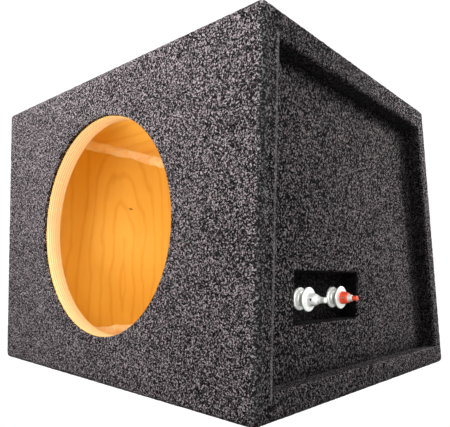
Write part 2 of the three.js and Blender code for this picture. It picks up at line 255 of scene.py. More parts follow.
def carpet_material(name, shade=1.0, coarse=1.0):
    """Charcoal needle-felt: black, grey and pale fibres mixed in tufts of 1 to 2 mm."""
    material, tree, shader = new_material(name)
    at = place(tree)
    wander = noise_at(tree, at, 380 / coarse, output="Color")
    bent = vector_math(tree, "MULTIPLY_ADD", wander, (0.0024, 0.0024, 0.0024), at)
    tufts = node(tree, "ShaderNodeTexVoronoi", {"Vector": bent, "Scale": 900.0 / coarse})
    tuft = node(tree, "ShaderNodeSeparateColor", {"Color": tufts.outputs["Color"]}).outputs[0]
    fine = noise_at(tree, at, 1350 / coarse, 3, 0.7)
    clumps = noise_at(tree, at, 580 / coarse, 2, 0.6)
    # pale fibres are the crests of a winding noise
    crest = math_node(tree, "SUBTRACT", noise_at(tree, bent, 480 / coarse, 1.5), 0.5)
    fibre = map_range(tree, math_node(tree, "ABSOLUTE", crest), 0.0, 0.055, 1.0, 0.0)
    patches = noise_at(tree, at, 26, 3, 0.6)
    value = weighted(tree, (tuft, 0.40), (fine, 0.45), (clumps, 0.74), (fibre, 0.16), (patches, 0.08))
    # painted shade and highlight: on faces turned along X, dark fibres are made darker and pale ones
    # paler, standing in for grazing light
    side_shading = map_range(tree, facing(tree, 0), 0.2, 0.8, 0.95, SIDE_SHADE_CONTRAST)
    value = math_node(tree, "SUBTRACT", value, CARPET_MIDDLE)
    value = math_node(tree, "MULTIPLY_ADD", value, side_shading, CARPET_MIDDLE)
    value = times(tree, value, 0.8)
    # the tone attribute holds painted shade in creases (below 1) and painted highlights on the wrap's
    # edges (above 1)
    tone = node(tree, "ShaderNodeAttribute", attribute_name="tone").outputs["Fac"]
    lip_highlight = map_range(tree, tone, 1.0, LIP_HIGHLIGHT_GAIN, 0.0, 0.62)
    fibres = mix(tree, 1.0, ramp(tree, value, FIBRE_COLORS), times(tree, tone, shade), "MULTIPLY")
    fibres.node.clamp_result = True
    fibres = mix(tree, lip_highlight, fibres, (0.62, 0.57, 0.59))
    feed(tree, shader, {"Base Color": fibres, "Roughness": 1.0, "Specular IOR Level": 0.06})
    feed(tree, shader, {"Sheen Weight": 0.02, "Sheen Roughness": 0.6})
    bump(tree, shader, value, 3.6 * MM)
    return material


def set_tone(obj, tone_at):
    """Stores how pale the carpet is at each point: below 1 for painted shade in creases, above 1 for
    painted highlights on edges.
    """
    tones = obj.data.attributes.new("tone", "FLOAT", "POINT")
    for item, vert in zip(tones.data, obj.data.vertices):
        item.value = tone_at(vert.co)


def birch_material(name, normal_axis, grain_axis, knot=None, rough_plies=None):
    """Birch plywood: rotary-cut grain on the sheet's faces, stacked plies on its edges. A knot is given
    across and along the grain, and torn plies by the depths where they start to heal and have healed."""
    material, tree, shader = new_material(name)
    at = place(tree)
    axes = node(tree, "ShaderNodeSeparateXYZ", {"Vector": at}).outputs
    across_axis = 3 - normal_axis - grain_axis
    grain = axes[grain_axis]
    across = axes[across_axis]
    depth = axes[normal_axis]

    # face veneer
    flat = combined(tree, times(tree, grain, 0.16), across, depth)
    if knot is None:
        turns = times(tree, noise_at(tree, flat, 7.5, 2.2, 0.42, 0.35), 46.0)
    else:
        # arches round the upper end of a line, which stops below the knot
        height = math_node(tree, "SUBTRACT", grain, knot[1] - 60 * MM)
        height = math_node(tree, "MAXIMUM", height, 0.0)
        aside = math_node(tree, "SUBTRACT", across, knot[0] - 12 * MM)
        arch = length_of(tree, combined(tree, aside, times(tree, height, 0.34)))
        wavy = noise_at(tree, stretched(tree, at, (0.8, 1.0, 0.55)), 14, 3)
        turns = weighted(tree, (arch, ARCH_TURNS), (wavy, 14.0))
    rings = math_node(tree, "MULTIPLY_ADD", math_node(tree, "SINE", turns), 0.5, 0.5)
    rings = math_node(tree, "POWER", rings, 5.0)
    pores = noise_at(tree, combined(tree, times(tree, grain, 0.035), across, depth), 1300, 3, 0.6)
    clouds = noise_at(tree, flat, 16, 3, 0.55)
    tone = weighted(tree, (rings, 0.25), (pores, 0.30), (clouds, 0.75))
    face = ramp(tree, tone, VENEER_COLORS)
    if knot is not None:
        centre = Vector((0, 0, 0))
        centre[across_axis] = knot[0]
        centre[grain_axis] = knot[1]
        gain = Vector((0, 0, 0))
        gain[across_axis] = 0.42
        gain[grain_axis] = 1.0
        off = vector_math(tree, "SUBTRACT", at, tuple(centre))
        off = vector_math(tree, "MULTIPLY", off, tuple(gain))
        in_knot = map_range(tree, length_of(tree, off), 0.0004, 0.0024, 0.85, 0.0, smoothly=True)
        face = mix(tree, in_knot, face, (0.16, 0.055, 0.02))

    # stacked plies on the edges, with end grain in every other one
    layer = math_node(tree, "DIVIDE", depth, PLY / PLIES)
    layer = math_node(tree, "MULTIPLY_ADD", noise_at(tree, at, 60), 0.25, layer)
    pair = math_node(tree, "FRACT", times(tree, layer, 0.5))
    odd = math_node(tree, "GREATER_THAN", pair, 0.5)
    streaks = noise_at(tree, at, 420, 3, 0.7)
    long_ply = ramp(tree, streaks, [(0.3, (0.93, 0.70, 0.38)), (0.7, (0.88, 0.63, 0.32))])
    end_ply = ramp(tree, streaks, [(0.3, (0.82, 0.52, 0.25)), (0.7, (0.75, 0.45, 0.20))])
    edge = mix(tree, odd, long_ply, end_ply)
    if rough_plies is not None:
        # the cutter tore the end-grain plies near one face and left the others smooth
        torn = map_range(tree, depth, *rough_plies, 0.7, 0.0, smoothly=True)
        edge = mix(tree, times(tree, torn, odd), edge, (0.62, 0.40, 0.16))
    # glue lines, of which some are much darker
    number = {"W": math_node(tree, "FLOOR", layer)}
    chance = node(tree, "ShaderNodeTexWhiteNoise", number, noise_dimensions="1D").outputs["Value"]
    strong = map_range(tree, chance, 0.55, 0.8, 0.12, 0.75)
    glue = map_range(tree, math_node(tree, "FRACT", layer), 0.08, 0.24, 1.0, 0.0)
    edge = mix(tree, times(tree, glue, strong), edge, (0.56, 0.35, 0.14))

    on_face = math_node(tree, "GREATER_THAN", facing(tree, normal_axis), 0.8)
    shine = map_range(tree, pores, 0.3, 0.7, 0.42, 0.6)
    color = mix(tree, on_face, edge, face)
    feed(tree, shader, {"Base Color": color, "Roughness": shine, "Specular IOR Level": 0.4})
    bump(tree, shader, math_node(tree, "MULTIPLY_ADD", rings, 0.15, pores), 0.12 * MM, 0.5)
    return material


def sealant_material():
    """Latex seam sealant: glossy, cream with a peach cast."""
    material, tree, shader = new_material("seam_sealant")
    at = place(tree)
    lumps = noise_at(tree, at, 70, 3, 0.55)
    creams = [(0.3, (0.90, 0.62, 0.30)), (0.5, (0.95, 0.77, 0.52)), (0.7, (0.98, 0.88, 0.70))]
    rough = map_range(tree, noise_at(tree, at, 25), 0.3, 0.7, 0.16, 0.36)
    feed(tree, shader, {"Base Color": ramp(tree, lumps, creams), "Roughness": rough})
    feed(tree, shader, {"Coat Weight": 0.35, "Coat Roughness": 0.12})
    feed(tree, shader, {"Subsurface Weight": 0.12, "Subsurface Radius": (0.004, 0.002, 0.001)})
    bump(tree, shader, lumps, 0.9 * MM, 0.5)
    return material


def metal_material(name, light, dark, rough_low, rough_high, metallic=1.0):
    """Plated metal with turning marks, a slightly cloudy film and fine scratches."""
    material, tree, shader = new_material(name)
    at = place(tree)
    film = noise_at(tree, at, 420, 3, 0.6)
    marks = noise_at(tree, stretched(tree, at, (6.0, 0.5, 0.5)), 900, 2, 0.6)
    color = ramp(tree, film, [(0.3, dark), (0.62, light)])
    rough = map_range(tree, marks, 0.3, 0.7, rough_low, rough_high)
    feed(tree, shader, {"Base Color": color, "Roughness": rough, "Metallic": metallic})
    bump(tree, shader, marks, 0.02 * MM, 0.4)
    return material


def plastic_material(name, light, dark, rough, clear):
    """Moulded plastic with a faint flow pattern and orange-peel skin."""
    material, tree, shader = new_material(name)
    at = place(tree)
    color = ramp(tree, noise_at(tree, at, 260, 3, 0.6, 0.8), [(0.3, dark), (0.7, light)])
    grain = noise_at(tree, at, 1500)
    sheen = map_range(tree, grain, 0.3, 0.7, rough, rough + 0.12)
    feed(tree, shader, {"Base Color": color, "Roughness": sheen})
    feed(tree, shader, {"Transmission Weight": clear, "IOR": 1.49})
    bump(tree, shader, grain, 0.03 * MM, 0.4)
    return material


CARPET_FINISH = carpet_material("charcoal_felt")
# the side felt is a little darker than the wrap's: painted shade
SIDE_FINISH = carpet_material("charcoal_felt_side", 0.95, 1.3)
# darker copies of the felt, painted shade: in the wrap's recess, and on the pocket's floor and walls
RECESS_PAINTED_SHADE = carpet_material("charcoal_felt_painted_shade", 0.36)
POCKET_FLOOR_PAINTED_SHADE = carpet_material("charcoal_felt_pocket_floor_painted_shade", 0.25)
POCKET_WALL_PAINTED_SHADE = carpet_material("charcoal_felt_pocket_wall_painted_shade", 0.05)
SEALANT_FINISH = sealant_material()
# these are named after their slots in the record
NICKEL = metal_material("nickel_plate", (0.88, 0.89, 0.85), (0.70, 0.71, 0.68), 0.28, 0.46, metallic=0.45)
ZINC = metal_material("zinc_steel", (0.66, 0.68, 0.70), (0.48, 0.50, 0.52), 0.28, 0.45)
SPRING_STEEL = metal_material("spring_steel", (0.52, 0.52, 0.53), (0.36, 0.36, 0.37), 0.2, 0.38)
RED_PLASTIC = plastic_material("red_plastic", (0.90, 0.115, 0.045), (0.74, 0.06, 0.025), 0.18, 0.15)
BLACK_PLASTIC = plastic_material("black_plastic", (0.02, 0.02, 0.021), (0.008, 0.008, 0.009), 0.3, 0.0)


# ------------------------------------------------------------------ mesh helpers


def settle(obj, body, slot, *nodes):
    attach(obj, body)
    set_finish(obj, slot)
    if nodes:
        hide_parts(*nodes)


def add_object(name, data):
    obj = bpy.data.objects.new(name, data)
    bpy.context.scene.collection.objects.link(obj)
    return obj


def mesh_object(name, verts, faces):
    mesh = bpy.data.meshes.new(name)
    mesh.from_pydata([tuple(v) for v in verts], [], faces)
    return add_object(name, mesh)


def new_piece(name, verts, faces, materials, smooth_angle=None):
    obj = mesh_object(name, verts, faces)
    for material in materials if isinstance(materials, list) else [materials]:
        obj.data.materials.append(material)
    clean(obj)
    obj.data.shade_smooth()
    if smooth_angle is not None:
        obj.data.set_sharp_from_angle(angle=math.radians(smooth_angle))
    return obj


def clean(obj):
    """Welds doubled points and drops the ones that no face uses."""
    work = bmesh.new()
    work.from_mesh(obj.data)
    bmesh.ops.remove_doubles(work, verts=work.verts, dist=1e-7)
    loose = [vert for vert in work.verts if not vert.link_faces]
    bmesh.ops.delete(work, geom=loose, context="VERTS")
    work.to_mesh(obj.data)
    work.free()


def turn_outward(obj):
    work = bmesh.new()
    work.from_mesh(obj.data)
    bmesh.ops.recalc_face_normals(work, faces=work.faces)
    work.to_mesh(obj.data)
    work.free()


def apply_modifiers(obj):
    graph = bpy.context.evaluated_depsgraph_get()
    mesh = bpy.data.meshes.new_from_object(obj.evaluated_get(graph))
    obj.modifiers.clear()
    old = obj.data
    obj.data = mesh
    bpy.data.meshes.remove(old)


def thicken(obj, thickness):
    solidify = obj.modifiers.new("thickness", "SOLIDIFY")
    solidify.thickness = thickness
    solidify.offset = -1
    apply_modifiers(obj)


def smooth(obj, angle=38):
    obj.data.shade_smooth()
    obj.data.set_sharp_from_angle(angle=math.radians(angle))


def bevel(obj, width, angle=40):
    made = obj.modifiers.new("bevel", "BEVEL")
    made.width = width
    made.segments = 2
    made.limit_method = "ANGLE"
    made.angle_limit = math.radians(angle)
    apply_modifiers(obj)
    smooth(obj, 35)


def cut_with(obj, *cutters):
    for cutter in cutters:
        made = obj.modifiers.new("cut", "BOOLEAN")
        made.operation = "DIFFERENCE"
        made.solver = "EXACT"
        made.object = cutter
    apply_modifiers(obj)
    for cutter in cutters:
        bpy.data.objects.remove(cutter)


def roughen(obj, amount, size, limit=None):
    """Moves each point along its normal by a smooth noise, so that the pile isn't dead flat."""
    mesh = obj.data
    normals = [vert.normal.copy() for vert in mesh.vertices]
    for vert, normal in zip(mesh.vertices, normals):
        if limit is not None and not limit(vert.co):
            continue
        swell = noise.noise(vert.co / size) + 0.6 * noise.noise(vert.co * (2.7 / size))
        vert.co += normal * (amount * swell)


# ------------------------------------------------------------------ the wedge's outline


def back_at(height, inset=0.0):
    return BACK - height * BACK_SLOPE - inset * BACK_STRETCH


def wedge(inset):
    """Corners in Y and Z, all sides moved in by the inset, from front bottom round by the back."""
    low = inset
    high = TOP - inset
    return [
        Vector((FRONT + inset, low)),
        Vector((back_at(low, inset), low)),
        Vector((back_at(high, inset), high)),
        Vector((FRONT + inset, high)),
    ]


def rounded_loop(corners, radius, side_steps, corner_steps):
    """A closed loop through the corners with arcs of the radius: the same count whatever the radius."""
    count = len(corners)
    spans = []
    for index, corner in enumerate(corners):
        to_here = (corner - corners[index - 1]).normalized()
        onward = (corners[(index + 1) % count] - corner).normalized()
        out_here = Vector((to_here.y, -to_here.x))
        out_next = Vector((onward.y, -onward.x))
        centre = corner - (out_here + out_next) * (radius / (1 + out_here.dot(out_next)))
        turn = out_here.angle(out_next)
        arc = []
        for step in range(corner_steps + 1):
            t = step / corner_steps
            weight_a = math.sin((1 - t) * turn) / math.sin(turn)
            weight_b = math.sin(t * turn) / math.sin(turn)
            arc.append(centre + (out_here * weight_a + out_next * weight_b) * radius)
        spans.append(arc)
    loop = []
    for index, arc in enumerate(spans):
        loop.extend(arc)
        start = arc[-1]
        end = spans[(index + 1) % count][0]
        steps = side_steps[index]
        for step in range(1, steps):
            loop.append(start.lerp(end, step / steps))
    return loop


def grid_faces(rows, columns, closed_columns=False, closed_rows=False, first=0):
    faces = []
    for row in range(rows if closed_rows else rows - 1):
        here = first + row * columns
        there = first + (row + 1) % rows * columns
        for column in range(columns if closed_columns else columns - 1):
            after = (column + 1) % columns
            faces.append((here + column, here + after, there + after, there + column))
    return faces


def open_up(verts, faces, removed, angle_of, rings):
    """Cuts an opening in a flat stretch of mesh: drops faces that touch removed points, then joins the
    ragged rim to the first ring and each ring to the next. Rings run by growing angle."""
    kept = []
    rim = set()
    for face in faces:
        gone = [index for index in face if index in removed]
        if not gone:
            kept.append(face)
        elif len(gone) < len(face):
            rim.update(index for index in face if index not in removed)
    outer = sorted(rim, key=lambda index: angle_of(verts[index]))
    first = len(verts)
    for ring in rings:
        verts.extend(sorted(ring, key=angle_of))
    count = len(rings[0])
    kept.extend(zipper(verts, outer, range(first, first + count), angle_of))
    return kept + grid_faces(len(rings), count, closed_columns=True, first=first)


def zipper(verts, outer, inner, angle_of):
    """Triangles between two loops whose points don't match one to one."""
    faces = []
    full = 2 * math.pi
    i = 0
    j = 0

    def angle(ring, step):
        return angle_of(verts[ring[step % len(ring)]]) + full * (step // len(ring))

    while i < len(outer) or j < len(inner):
        next_outer = angle(outer, i + 1)
        next_inner = angle(inner, j + 1)
        if i < len(outer) and (j >= len(inner) or next_outer <= next_inner):
            faces.append((outer[i % len(outer)], outer[(i + 1) % len(outer)], inner[j % len(inner)]))
            i += 1
        else:
            faces.append((outer[i % len(outer)], inner[(j + 1) % len(inner)], inner[j % len(inner)]))
            j += 1
    return faces


# ------------------------------------------------------------------ carpet wrap


def wrap_section():
    """Points (x, inset) across the +X half of the wrap, from the middle of a face to the recess."""
    outer = 6 * MM
    lip = 4 * MM
    edge = HALF_WIDTH + PILE
    points = []
    flat_steps = round((edge - outer) / GRID)
    for step in range(flat_steps):
        points.append(((edge - outer) * step / flat_steps, -PILE))
    for step in range(7):
        angle = step / 6 * math.pi / 2
        points.append((edge - outer + outer * math.sin(angle), outer - PILE - outer * math.cos(angle)))
    for step in range(1, 5):
        points.append((edge, outer - PILE + (FRAME - lip - outer + PILE) * step / 5))
    for step in range(6):
        angle = step / 5 * math.pi / 2
        points.append((edge - lip + lip * math.cos(angle), FRAME - lip + lip * math.sin(angle)))
    for step in range(1, 6):
        points.append((edge - lip + (SIDE_SURFACE - 0.8 * MM - edge + lip) * step / 5, FRAME))
    return points


def painted_edge_highlight(at):
    """Painted highlight: the wrap is made paler round its front corners, and most along the front lips'
    inner edge, where light catches the rounded pile.
    """
    depth = (at.y - FRONT) / MM
    on_lip = abs(at.x) > HALF_WIDTH - 4.5 * MM and inset_of(at) > WALL - 2 * MM
    if on_lip and LIP_HIGHLIGHT_BAND[0] < depth < LIP_HIGHLIGHT_BAND[1]:
        return LIP_HIGHLIGHT_GAIN
    round_the_corner = min(max((abs(at.x) - HALF_WIDTH + 5 * MM) / (6 * MM), 0), 1)
    near_the_corner = min(max((12 - depth) / 8, 0), 1)
    return 1 + 1.3 * round_the_corner * near_the_corner


def make_wrap():
    half = wrap_section()
    section = [(-x, inset) for x, inset in reversed(half[1:])] + half
    corners = wedge(0)
    side_steps = [
        round((corners[(index + 1) % 4] - corner).length / GRID) for index, corner in enumerate(corners)
    ]
    verts = []
    for x, inset in section:
        radius = max(5.3 * MM - inset, 1.6 * MM)
        loop = rounded_loop(wedge(inset), radius, side_steps, 6)
        verts.extend(Vector((x, point.x, point.y)) for point in loop)
    columns = len(verts) // len(section)
    faces = grid_faces(len(section), columns, closed_columns=True)

    def from_centre(point):
        return math.hypot(point.x, point.z - HOLE_CENTRE.z)

    removed = {
        index
        for index, point in enumerate(verts)
        if abs(point.y - FRONT + PILE) < 1e-5 and from_centre(point) < HOLE_RADIUS + 3.2 * MM
    }
    rings = []
    for grow, depth in ((2.2, -0.7), (1.3, -0.5), (0.75, 0.0), (0.5, 0.9), (0.42, 1.9), (0.4, 2.9)):
        ring = []
        for step in range(360):
            angle = 2 * math.pi * step / 360
            radius = HOLE_RADIUS + grow * MM
            reach = Vector((radius * math.cos(angle), depth * MM, radius * math.sin(angle)))
            ring.append(HOLE_CENTRE + reach)
        rings.append(ring)
    faces = open_up(
        verts,
        faces,
        removed,
        lambda point: math.atan2(point.z - HOLE_CENTRE.z, point.x) % (2 * math.pi),
        rings,
    )
    obj = new_piece("carpet_wrap", verts, faces, [CARPET_FINISH, RECESS_PAINTED_SHADE])
    # the wrap's faces inside the recess take the darker felt: painted shade
    recess = FRAME - 0.9 * MM
    for face in obj.data.polygons:
        middle = face.center
        if abs(middle.x) < HALF_WIDTH - 2.6 * MM and inset_of(middle) > recess:
            face.material_index = 1
    set_tone(obj, painted_edge_highlight)
    roughen(obj, PILE_SWELL, SWELL_SIZE, lambda at: from_centre(at) > HOLE_RADIUS + 1.5 * MM)
    thicken(obj, 2.3 * MM)
    settle(
        obj, BASE_BODY, "charcoal_carpet", "carpet_front", "carpet_top", "carpet_bottom", "carpet_back"
    )


def inset_of(point):
    """How far a point lies inside the wedge's outline."""
    back = (back_at(point.z) - point.y) / BACK_STRETCH
    return min(point.y - FRONT, back, point.z, TOP - point.z)


# ------------------------------------------------------------------ side carpets and pocket


def rounded_rectangle(half_y, half_z, radius):
    corners = [
        Vector((-half_y, -half_z)),
        Vector((half_y, -half_z)),
        Vector((half_y, half_z)),
        Vector((-half_y, half_z)),
    ]
    return rounded_loop(corners, radius, [40, 18] * 2, 4)


def pocket_ring(margin, x, radius):
    loop = rounded_rectangle(POCKET_HALF_Y + margin, POCKET_HALF_Z + margin, radius)
    return [Vector((x, POCKET_CENTRE.y + p.x, POCKET_CENTRE.z + p.y)) for p in loop]


def painted_crease_shade(at):
    """Painted shade: the recessed carpet is darkened towards its corner with the wrap's lip, where the
    lip's shadow falls.
    """
    creases = (
        (TOP - FRAME - at.z, 0.75, 8 * MM),
        ((back_at(at.z, FRAME) - at.y) / BACK_STRETCH, 0.55, 4 * MM),
        (at.z - FRAME, 0.75, 12 * MM),
        (at.y - FRONT - FRAME, 0.35, 6 * MM),
    )
    tone = 1.0
    for distance, depth, width in creases:
        tone *= 1 - depth * math.exp(-max(distance, 0) / width)
    return tone


def make_side_carpet(side, name, cad_node):
    corners = wedge(WALL + 0.6 * MM)
    columns = round((corners[1] - corners[0]).length / GRID)
    rows = round((corners[3] - corners[0]).length / GRID)
    verts = []
    for row in range(rows + 1):
        start = corners[0].lerp(corners[3], row / rows)
        end = corners[1].lerp(corners[2], row / rows)
        for column in range(columns + 1):
            point = start.lerp(end, column / columns)
            verts.append(Vector((side * SIDE_SURFACE, point.x, point.y)))
    faces = grid_faces(rows + 1, columns + 1)

    def in_pocket(point, margin):
        return (
            abs(point.y - POCKET_CENTRE.y) < POCKET_HALF_Y + margin
            and abs(point.z - POCKET_CENTRE.z) < POCKET_HALF_Z + margin
        )

    if side > 0:
        removed = {index for index, point in enumerate(verts) if in_pocket(point, 2.4 * MM)}
        profile = ((1.8, 0.0, 2.8), (1.0, 0.1, 2.4), (0.4, 0.45, 2.0), (0.1, 1.0, 1.8), (0.0, 1.8, 1.6))
        rings = [
            pocket_ring(margin * MM, SIDE_SURFACE - depth * MM, radius * MM)
            for margin, depth, radius in profile
        ]
        faces = open_up(
            verts,
            faces,
            removed,
            lambda p: math.atan2(p.z - POCKET_CENTRE.z, p.y - POCKET_CENTRE.y) % (2 * math.pi),
            rings,
        )
    else:
        faces = [tuple(reversed(face)) for face in faces]
    obj = new_piece(name, verts, faces, SIDE_FINISH)
    set_tone(obj, painted_crease_shade)
    if side > 0:
        roughen(obj, PILE_SWELL, SWELL_SIZE, lambda at: not in_pocket(at, 1.2 * MM))
    else:
        roughen(obj, PILE_SWELL, SWELL_SIZE)
    thicken(obj, 2.2 * MM)
    settle(obj, BASE_BODY, "charcoal_carpet", cad_node)


def make_pocket_lining():
    """Carpet walls and floor of the terminal pocket, tucked behind the side carpet's cut edge."""
    wall_top = SIDE_SURFACE - 1.2 * MM
    sections = [(0.5, wall_top, 1.8)]
    for step in range(1, 7):
        x = wall_top + (POCKET_FLOOR + 1.6 * MM - wall_top) * step / 6
        sections.append((0.5, x, 1.8))
    sections += [(0.1, POCKET_FLOOR + 0.7 * MM, 1.6), (-0.8, POCKET_FLOOR + 0.15 * MM, 1.4)]
    verts = []
    for margin, x, radius in sections:
        verts.extend(pocket_ring(margin * MM, x, radius * MM))
    columns = len(verts) // len(sections)
    faces = grid_faces(len(sections), columns, closed_columns=True)
    # floor: a sheet under the rim of the walls
    first = len(verts)
    steps_y = 36
    steps_z = 16
    reach_y = POCKET_HALF_Y - 0.7 * MM
    reach_z = POCKET_HALF_Z - 0.7 * MM
    for row in range(steps_z + 1):
        for column in range(steps_y + 1):
            y = POCKET_CENTRE.y + reach_y * (2 * column / steps_y - 1)
            z = POCKET_CENTRE.z + reach_z * (2 * row / steps_z - 1)
            verts.append(Vector((POCKET_FLOOR, y, z)))
    faces = [tuple(reversed(face)) for face in faces]
    faces += grid_faces(steps_z + 1, steps_y + 1, first=first)
    obj = new_piece("pocket_lining", verts, faces, [POCKET_FLOOR_PAINTED_SHADE, POCKET_WALL_PAINTED_SHADE])
    # the floor takes a dark felt and the walls a near-black one: painted shade
    for face in obj.data.polygons:
        face.material_index = int(face.center.x > POCKET_FLOOR + 0.01 * MM)
    set_tone(obj, lambda at: 1.0)
    roughen(obj, 0.22 * MM, SWELL_SIZE)
    thicken(obj, 1.8 * MM)
    settle(obj, BASE_BODY, "charcoal_carpet", "carpet_pocket")


# ------------------------------------------------------------------ plywood


def make_baffle():
    """Front sheet with the driver hole, both edges of the hole just broken."""
    low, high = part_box("front_baffle")
    count = 360
    corner_angles = [
        math.atan2(z - HOLE_CENTRE.z, x) % (2 * math.pi)
        for x in (low.x, high.x)
        for z in (low.z, high.z)
    ]
    angles = sorted([2 * math.pi * step / count for step in range(count)] + corner_angles)
    broken = 0.5 * MM
    profile = [
        (None, low.y),
        (broken, low.y),
        (0.3 * broken, low.y + 0.3 * broken),
        (0.0, low.y + broken),
        (0.0, low.y + 0.5 * PLY),
        (0.0, high.y - broken),
        (0.3 * broken, high.y - 0.3 * broken),
        (broken, high.y),
        (None, high.y),
    ]
    verts = []
    for grow, y in profile:
        for angle in angles:
            run = Vector((math.cos(angle), 0, math.sin(angle)))
            if grow is None:
                reach_x = (high.x if run.x > 0 else -low.x) / max(abs(run.x), 1e-9)
                edge_z = high.z - HOLE_CENTRE.z if run.z > 0 else HOLE_CENTRE.z - low.z
                radius = min(reach_x, edge_z / max(abs(run.z), 1e-9))
            else:
                radius = HOLE_RADIUS + grow
            verts.append(Vector((radius * run.x, y, HOLE_CENTRE.z + radius * run.z)))
    columns = len(angles)
    faces = grid_faces(len(profile), columns, closed_columns=True, closed_rows=True)
    wood = birch_material("birch_baffle", 1, 2, rough_plies=(low.y + 0.25 * PLY, low.y + 0.6 * PLY))
    obj = new_piece("baffle_sheet", verts, faces, wood, 30)
    settle(obj, BASE_BODY, "birch_plywood", "front_baffle")


def prism(name, outline, x_low, x_high, material):
    """Sheet cut to an outline in Y and Z between two X positions."""
    count = len(outline)
    verts = [Vector((x_low, p[0], p[1])) for p in outline]
    verts += [Vector((x_high, p[0], p[1])) for p in outline]
    faces = [tuple(reversed(range(count))), tuple(range(count, 2 * count))]
    faces += grid_faces(2, count, closed_columns=True)
    obj = new_piece(name, verts, faces, material)
    turn_outward(obj)
    return obj


def box_cutter(x0, x1, y0, y1, z0, z1):
    outline = [(y0, z0), (y1, z0), (y1, z1), (y0, z1)]
    return prism("cutter", outline, x0, x1, NICKEL)


def make_panels():
    edge = HALF_WIDTH - CARPET
    start = FRONT + WALL + GAP
    level = birch_material("birch_level", 2, 0)
    for name, cad_node, low, high in (
        ("top_sheet", "top_panel", TOP - WALL, TOP - CARPET),
        ("bottom_sheet", "bottom_panel", CARPET, WALL),
    ):
        end_low = back_at(low, WALL + GAP)
        end_high = back_at(high, WALL + GAP)
        outline = [(start, low), (end_low, low), (end_high, high), (start, high)]
        obj = prism(name, outline, -edge, edge, level)
        bevel(obj, 0.3 * MM)
        settle(obj, BASE_BODY, "birch_plywood", cad_node)
    low = CARPET
    high = TOP - CARPET
    outline = [
        (back_at(low, WALL), low),
        (back_at(low, CARPET), low),
        (back_at(high, CARPET), high),
        (back_at(high, WALL), high),
    ]
    obj = prism("back_sheet", outline, -edge, edge, birch_material("birch_back", 1, 0))
    bevel(obj, 0.3 * MM)
    settle(obj, BASE_BODY, "birch_plywood", "back_panel")

    outline = [tuple(p) for p in wedge(WALL + GAP)]
    left = birch_material("birch_left", 0, 2, knot=KNOT)
    obj = prism("left_side_sheet", outline, -SIDE_OUTER, -SIDE_INNER, left)
    bevel(obj, 0.3 * MM)
    settle(obj, BASE_BODY, "birch_plywood", "left_side_panel")

    right = birch_material("birch_right", 0, 2)
    obj = prism("right_side_sheet", outline, SIDE_INNER, SIDE_OUTER, right)
    reach_y = POCKET_HALF_Y + CARPET
    reach_z = POCKET_HALF_Z + CARPET
    cutter = box_cutter(
        SIDE_INNER - PLY,
        SIDE_OUTER + PLY,
        POCKET_CENTRE.y - reach_y,
        POCKET_CENTRE.y + reach_y,
        POCKET_CENTRE.z - reach_z,
        POCKET_CENTRE.z + reach_z,
    )
    cut_with(obj, cutter)
    bevel(obj, 0.3 * MM)
    settle(obj, BASE_BODY, "birch_plywood", "right_side_panel")

    low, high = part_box("terminal_board")
    outline = [(low.y, low.z), (high.y, low.z), (high.y, high.z), (low.y, high.z)]
    obj = prism("terminal_sheet", outline, low.x, high.x, right)
    bevel(obj, 0.5 * MM)
    settle(obj, BASE_BODY, "birch_plywood", "terminal_board")


# ------------------------------------------------------------------ seam sealant


def uneven(at, amount, size):
    return 1 + amount * (noise.noise(at / size) + 0.5 * noise.noise(at * (3.1 / size)))


def fillet(first, second, origin, leg_a, leg_b, sag=0.55, steps=7):
    """Section of a smeared bead: from one wall round to the other, bellied towards the corner."""
    points = []
    for step in range(steps + 1):
        t = step / steps
        a = leg_a * (1 - t) ** 2
        b = leg_b * t**2
        lift = (1 - sag) * 2 * t * (1 - t)
        points.append(origin + first * (a + leg_a * lift * 0.5) + second * (b + leg_b * lift * 0.5))
    return points


def make_side_bead(side, name, cad_node):
    corners = wedge(WALL + 0.1 * MM)
    lengths = [(corners[(index + 1) % 4] - corner).length for index, corner in enumerate(corners)]
    side_steps = [round(length / (4 * MM)) for length in lengths]
    loop = rounded_loop(corners, 2 * MM, side_steps, 5)
    centre = sum((Vector((p.x, p.y)) for p in corners), Vector((0, 0))) / 4
    x = side * (SIDE_INNER - 0.1 * MM)
    rows = []
    count = len(loop)
    for index, point in enumerate(loop):
        ahead = (loop[(index + 1) % count] - loop[index - 1]).normalized()
        inward = Vector((0, -ahead.y, ahead.x))
        if (Vector((0, centre.x, centre.y)) - Vector((0, point.x, point.y))).dot(inward) < 0:
            inward = -inward
        origin = Vector((x, point.x, point.y))
        seed = origin + Vector((0.3, 0, 0))
        on_floor = 1.35 if point.y < 0.04 else 1.0
        leg_panel = 11 * MM * on_floor * uneven(seed, 0.28, 35 * MM)
        leg_wall = 10 * MM * on_floor * uneven(seed + Vector((0, 1, 0)), 0.28, 28 * MM)
        curve = fillet(inward, Vector((-side, 0, 0)), origin, leg_panel, leg_wall)
        rows.append(curve + [origin])
    columns = len(rows[0])
    verts = [p for row in rows for p in row]
    faces = grid_faces(count, columns, closed_columns=True, closed_rows=True)
    obj = new_piece(name, verts, faces, SEALANT_FINISH, 50)
    turn_outward(obj)
    settle(obj, BASE_BODY, "sealant", cad_node)


